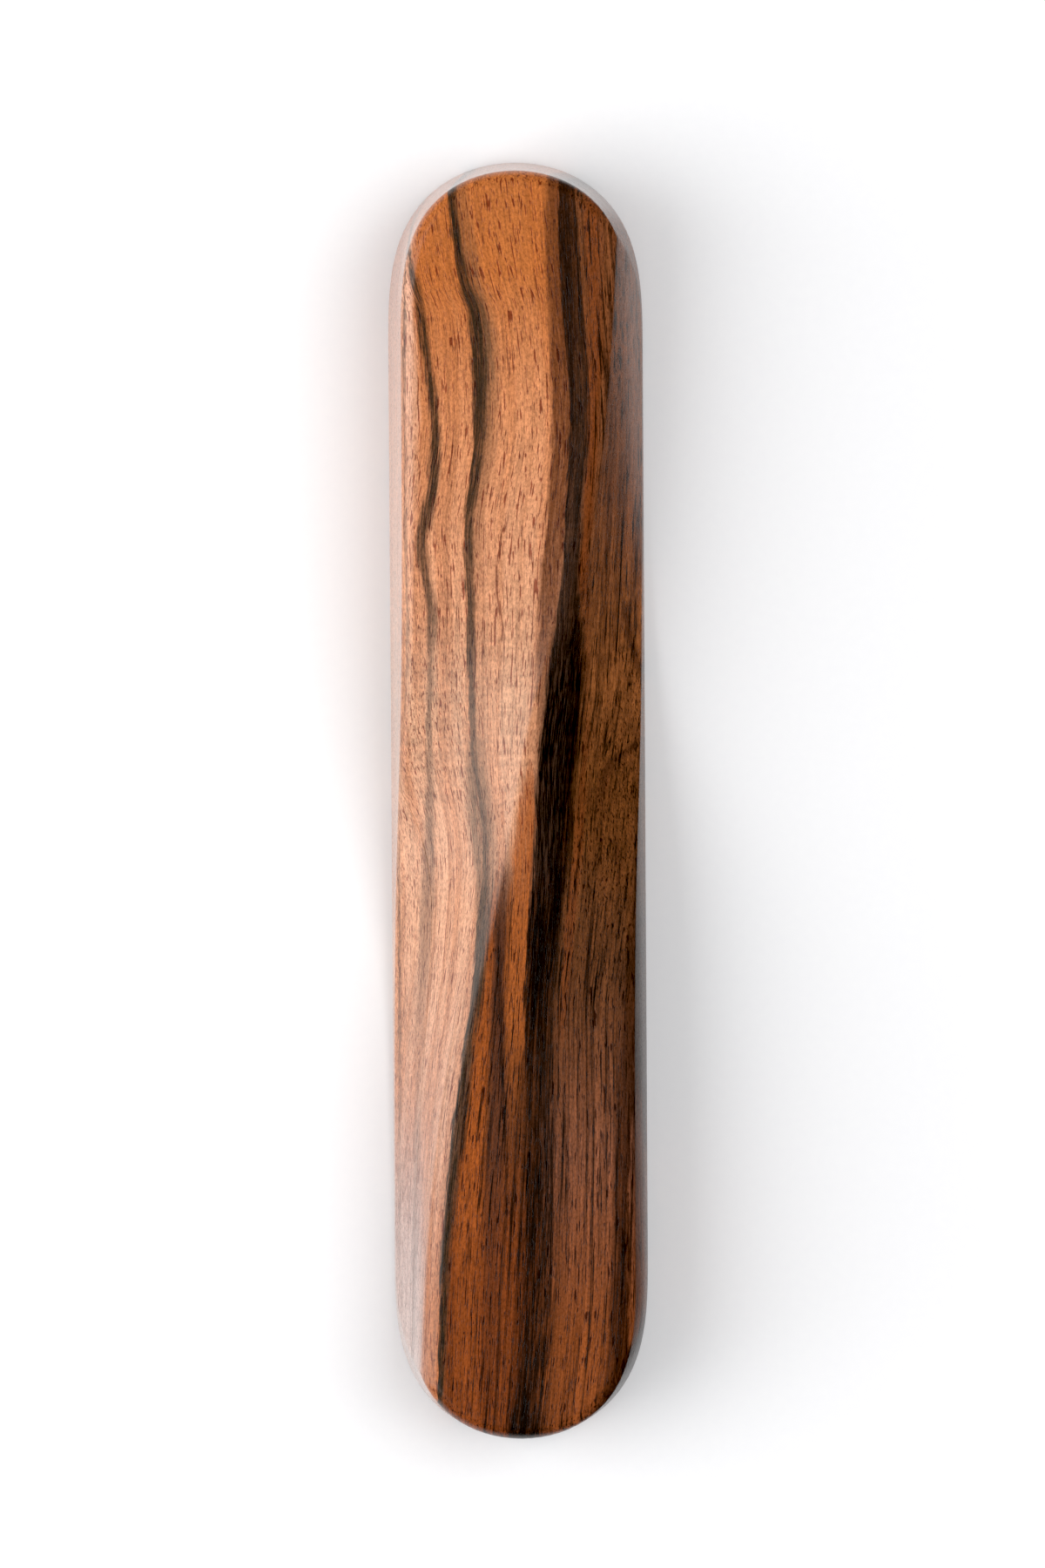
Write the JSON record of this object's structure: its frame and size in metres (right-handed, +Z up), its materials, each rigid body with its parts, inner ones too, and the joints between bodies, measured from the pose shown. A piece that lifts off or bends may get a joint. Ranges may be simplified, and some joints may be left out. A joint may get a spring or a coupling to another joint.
{
  "type": "dip pen case",
  "caption": "Long hardwood case for a dip pen, round-ended, carved on top into two faces that twist into each other; its lid swings sideways on a hidden pivot.",
  "frame": {"origin": "centre of the underside, on the surface that the case rests on", "axes": "+Z up, +Y along the case towards the lid's pivot, +X to the right seen from above with +Y away"},
  "size_m": [0.0438, 0.2198, 0.0267],
  "materials": {
    "striped_hardwood": "oiled and polished",
    "ebony": "satin",
    "cork": "natural cork",
    "felt": "wool felt",
    "brass": "turned",
    "spring_steel": "bright",
    "nickel": "nickel plated",
    "nylon": "natural nylon"
  },
  "bodies": {
    "tray": {"tray_body": "striped_hardwood", "sole_pad": "cork", "nib_end_lining": "felt", "middle_lining": "felt", "tail_end_lining": "felt", "nib_rest": "ebony", "tail_rest": "ebony", "tray_magnet_left": "nickel", "tray_magnet_right": "nickel", "pivot_bush": "brass", "thrust_washer": "nylon", "wave_spring": "spring_steel", "stop_pin": "spring_steel"},
    "lid": {"lid_body": "striped_hardwood", "lid_lining": "felt", "lid_magnet_left": "nickel", "lid_magnet_right": "nickel", "lid_insert": "brass", "pivot_screw": "brass", "screw_washer": "brass"}
  },
  "joints": [
    {"name": "lid_swing", "type": "hinge", "parent": "tray", "child": "lid", "pos_m": [0, 0.096, 0], "axis": [0, 0, 1], "range_deg": [0, 180]}
  ]
}
